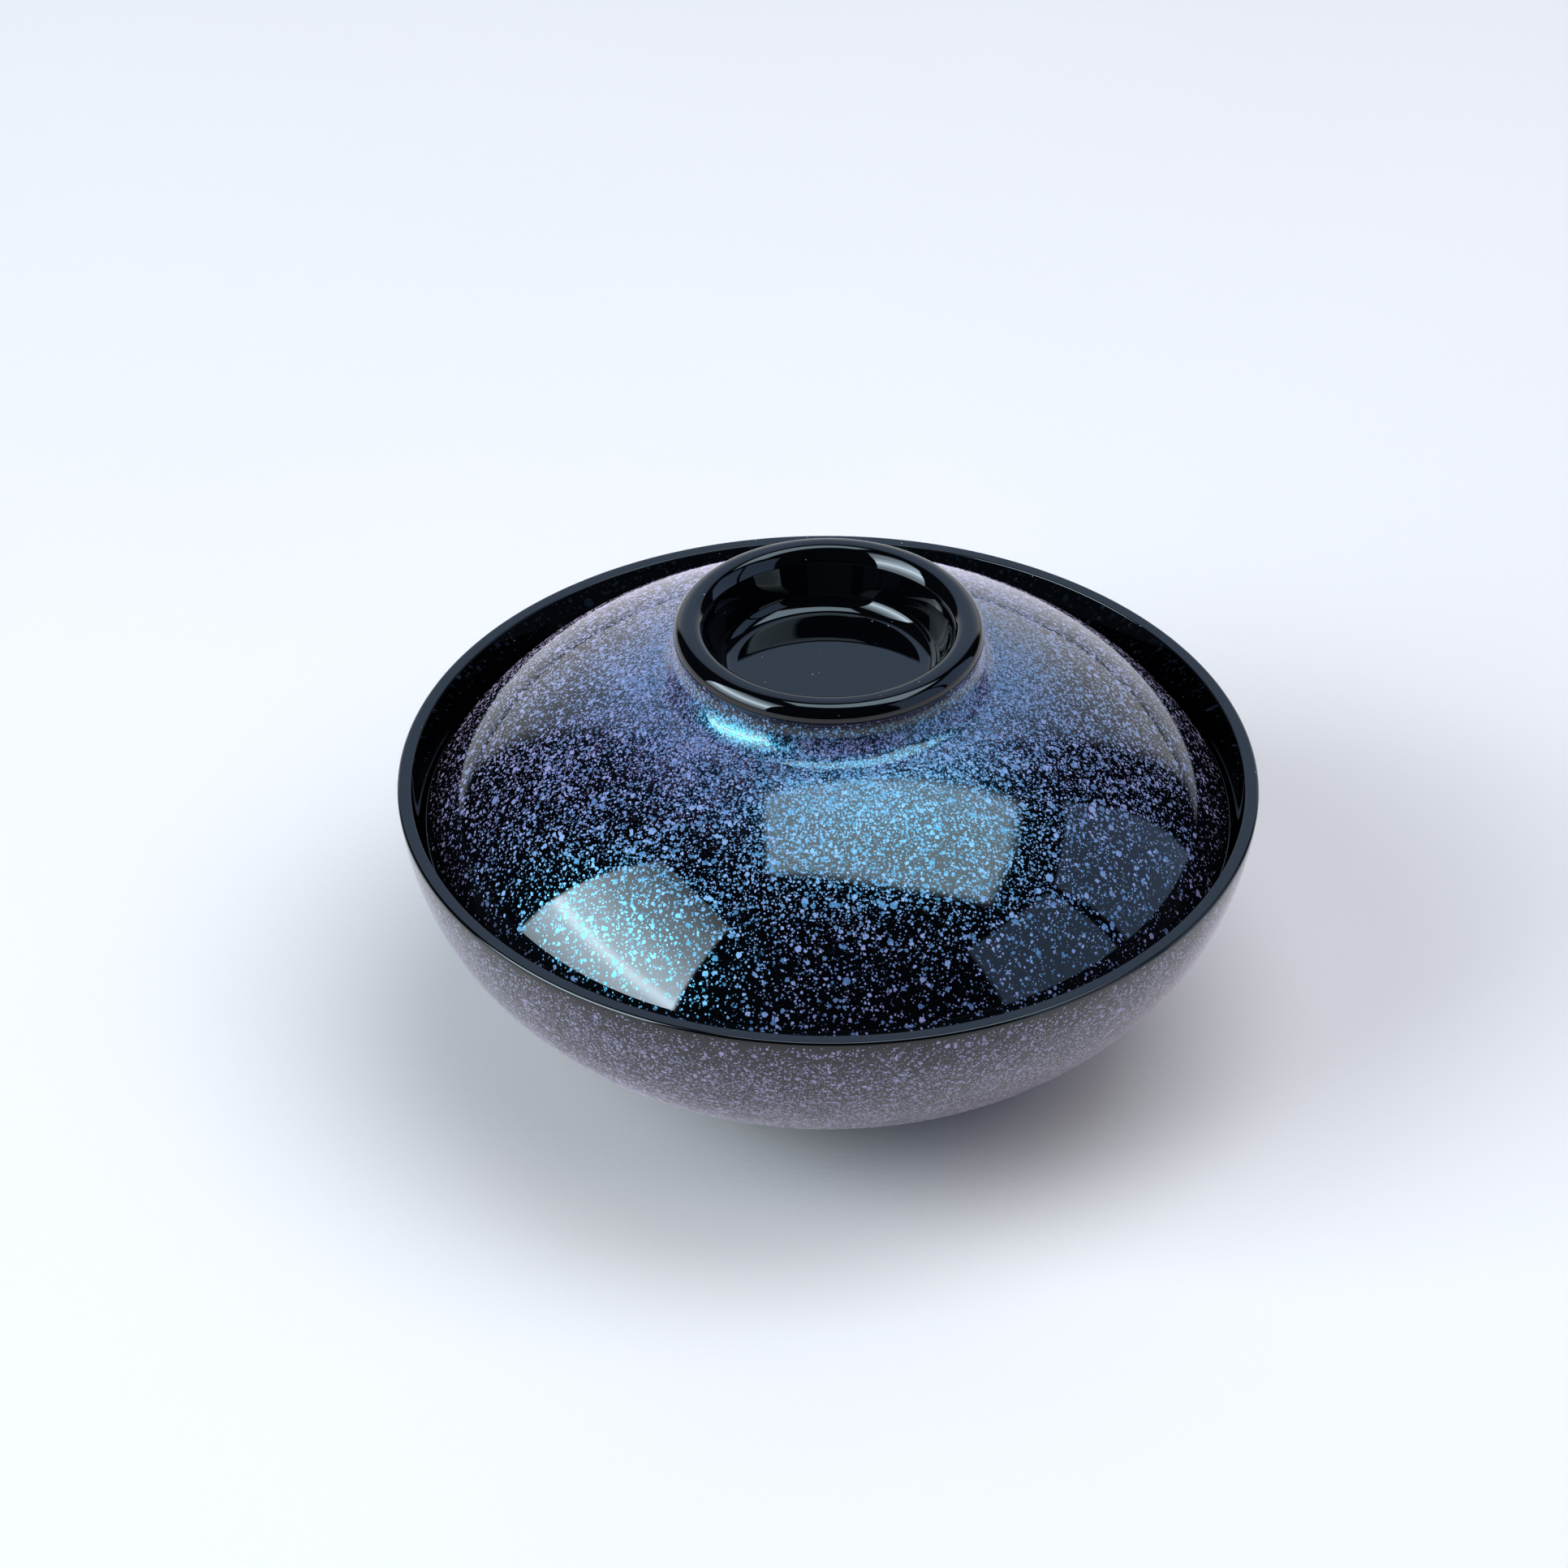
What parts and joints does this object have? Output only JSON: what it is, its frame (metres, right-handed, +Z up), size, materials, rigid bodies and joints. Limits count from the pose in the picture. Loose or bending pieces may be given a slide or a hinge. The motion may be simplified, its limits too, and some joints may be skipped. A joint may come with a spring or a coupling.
{
  "type": "lidded rice bowl",
  "caption": "Wide footed lacquered bowl with a domed lid that sits inside its rim and lifts off by a hollow ring knob.",
  "frame": {"origin": "centre of the foot ring's underside, on the surface the bowl stands on", "axes": "+Z up along the turning axis of both pieces; X and Y are any two directions square to it"},
  "size_m": [0.1346, 0.1346, 0.0753],
  "materials": {
    "speckled_lacquer": "black gloss lacquer under a spray of fine colour-shifting droplets, blue to violet, sealed by a clear coat; plain black gloss on the lip, the knob's ring and all inner faces"
  },
  "bodies": {
    "bowl": {"bowl": "speckled_lacquer"},
    "lid": {"lid": "speckled_lacquer"}
  },
  "joints": [
    {"name": "lid_lift", "type": "slide", "parent": "bowl", "child": "lid", "axis": [0, 0, 1], "range_m": [0, 0.06]}
  ]
}
